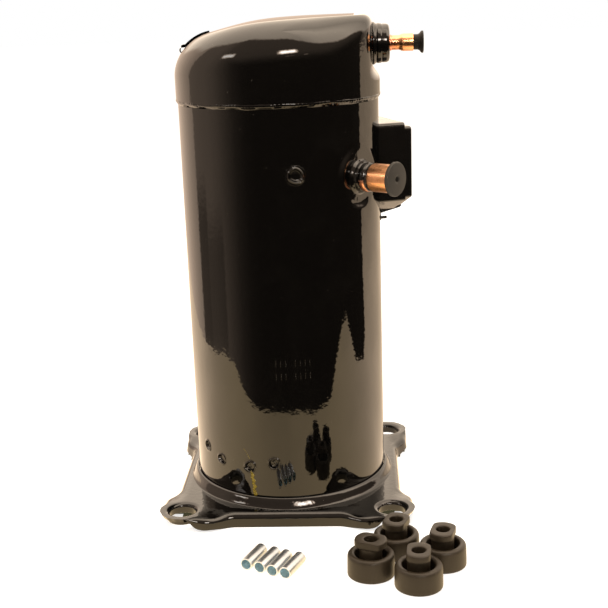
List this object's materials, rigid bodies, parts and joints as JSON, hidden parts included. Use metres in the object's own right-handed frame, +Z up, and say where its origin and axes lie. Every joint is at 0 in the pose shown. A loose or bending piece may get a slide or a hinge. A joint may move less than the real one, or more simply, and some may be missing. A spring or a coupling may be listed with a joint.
{
  "type": "scroll compressor",
  "caption": "Upright hermetic scroll compressor with welded shell, square foot plate, capped copper suction and discharge stubs, terminal box and loose rubber mounting kit.",
  "frame": {"origin": "centre of the bottom cap's flat underside, on the shell's axis, level with the foot plate's lips", "axes": "+Z up along the shell, +X out of the discharge stub, -Y towards the front, where the loose mounting kit lies"},
  "size_m": [0.2705, 0.3466, 0.445],
  "materials": {
    "black_paint": "gloss black paint",
    "copper": "drawn copper, satin",
    "soft_plug": "matte black",
    "grommet_rubber": "matte moulded rubber",
    "zinc": "zinc plated, bright",
    "box_plastic": "black moulded plastic, semi-gloss",
    "iron": "machined grey iron",
    "steel": "machined steel",
    "bronze": "machined bronze",
    "lamination": "stacked lamination steel",
    "winding": "enamelled copper wire",
    "alloy": "die-cast aluminium",
    "seal_polymer": "filled polymer"
  },
  "bodies": {
    "casing": {"shell_body": "black_paint", "bottom_cap": "black_paint", "top_cap": "black_paint", "top_weld_bead": "black_paint", "base_plate": "black_paint", "discharge_fitting": "black_paint", "discharge_tube": "copper", "suction_fitting": "black_paint", "suction_tube": "copper", "terminal_box": "box_plastic", "cover_hinge_pin": "zinc", "terminal_feedthrough": "steel", "terminal_pin_1": "steel", "terminal_pin_2": "steel", "terminal_pin_3": "steel", "terminal_block": "box_plastic", "ground_screw": "zinc", "sensor_strap": "black_paint", "main_bearing_housing": "iron", "main_bearing_bush": "bronze", "scroll_bolt_1": "steel", "scroll_bolt_2": "steel", "scroll_bolt_3": "steel", "scroll_bolt_4": "steel", "stator_core": "lamination", "upper_winding": "winding", "lower_winding": "winding", "motor_protector": "box_plastic", "motor_lead": "soft_plug", "lower_bearing_bracket": "steel", "lower_bearing_bush": "bronze", "thrust_washer": "bronze", "muffler_plate": "steel", "check_valve_cage": "steel", "relief_valve": "bronze", "suction_baffle": "steel"},
    "crank": {"crankshaft": "steel", "drive_bushing": "steel", "oil_pickup_tube": "steel", "upper_counterweight": "bronze", "rotor": "lamination", "lower_counterweight": "bronze"},
    "orbiter": {"orbiting_scroll": "iron", "orbiting_scroll_bush": "bronze"},
    "oldham": {"oldham_ring": "alloy"},
    "fixed_scroll_set": {"fixed_scroll": "iron"},
    "seal": {"floating_seal": "seal_polymer"},
    "check_valve": {"check_valve_disc": "steel"},
    "terminal_lid": {"terminal_cover": "box_plastic"},
    "latch": {"cover_latch": "zinc"},
    "discharge_cap": {"discharge_plug": "soft_plug"},
    "suction_cap": {"suction_plug": "soft_plug"},
    "loose_grommet_1": {"grommet_1": "grommet_rubber"},
    "loose_grommet_2": {"grommet_2": "grommet_rubber"},
    "loose_grommet_3": {"grommet_3": "grommet_rubber"},
    "loose_grommet_4": {"grommet_4": "grommet_rubber"},
    "loose_sleeve_1": {"sleeve_1": "zinc"},
    "loose_sleeve_2": {"sleeve_2": "zinc"},
    "loose_sleeve_3": {"sleeve_3": "zinc"},
    "loose_sleeve_4": {"sleeve_4": "zinc"}
  },
  "joints": [
    {"name": "crank_spin", "type": "hinge", "parent": "casing", "child": "crank", "pos_m": [0, 0, 0.2], "axis": [0, 0, 1], "continuous": true},
    {"name": "orbit_turn", "type": "hinge", "parent": "crank", "child": "orbiter", "pos_m": [0, 0.00357, 0.31], "axis": [0, 0, 1], "continuous": true},
    {"name": "oldham_slide", "type": "slide", "parent": "casing", "child": "oldham", "axis": [1, 0, 0], "range_m": [-0.00357, 0.00357]},
    {"name": "fixed_scroll_float", "type": "slide", "parent": "casing", "child": "fixed_scroll_set", "axis": [0, 0, 1], "range_m": [0, 0.0008]},
    {"name": "seal_float", "type": "slide", "parent": "fixed_scroll_set", "child": "seal", "axis": [0, 0, 1], "range_m": [0, 0.0005]},
    {"name": "check_valve_lift", "type": "slide", "parent": "casing", "child": "check_valve", "axis": [0, 0, 1], "range_m": [0, 0.008]},
    {"name": "terminal_cover_swing", "type": "hinge", "parent": "casing", "child": "terminal_lid", "pos_m": [0.08854, 0.07777, 0.315], "axis": [0, 0, 1], "range_deg": [0, 105]},
    {"name": "cover_latch_swing", "type": "hinge", "parent": "casing", "child": "latch", "pos_m": [0.08645, 0.03147, 0.2603], "axis": [-0.342, 0.9397, 0], "range_deg": [0, 75]},
    {"name": "discharge_plug_pull", "type": "slide", "parent": "casing", "child": "discharge_cap", "axis": [1, 0, 0], "range_m": [0, 0.03]},
    {"name": "suction_plug_pull", "type": "slide", "parent": "casing", "child": "suction_cap", "axis": [0.8121, -0.5835, 0], "range_m": [0, 0.03]},
    {"name": "grommet_1_lift", "type": "slide", "parent": "casing", "child": "loose_grommet_1", "axis": [0, 0, 1], "range_m": [0, 0.04]},
    {"name": "grommet_2_lift", "type": "slide", "parent": "casing", "child": "loose_grommet_2", "axis": [0, 0, 1], "range_m": [0, 0.04]},
    {"name": "grommet_3_lift", "type": "slide", "parent": "casing", "child": "loose_grommet_3", "axis": [0, 0, 1], "range_m": [0, 0.04]},
    {"name": "grommet_4_lift", "type": "slide", "parent": "casing", "child": "loose_grommet_4", "axis": [0, 0, 1], "range_m": [0, 0.04]},
    {"name": "sleeve_1_lift", "type": "slide", "parent": "casing", "child": "loose_sleeve_1", "axis": [0, 0, 1], "range_m": [0, 0.04]},
    {"name": "sleeve_2_lift", "type": "slide", "parent": "casing", "child": "loose_sleeve_2", "axis": [0, 0, 1], "range_m": [0, 0.04]},
    {"name": "sleeve_3_lift", "type": "slide", "parent": "casing", "child": "loose_sleeve_3", "axis": [0, 0, 1], "range_m": [0, 0.04]},
    {"name": "sleeve_4_lift", "type": "slide", "parent": "casing", "child": "loose_sleeve_4", "axis": [0, 0, 1], "range_m": [0, 0.04]}
  ],
  "couplings": [
    {"joint": "orbit_turn", "follows": "crank_spin", "ratio": -1}
  ]
}
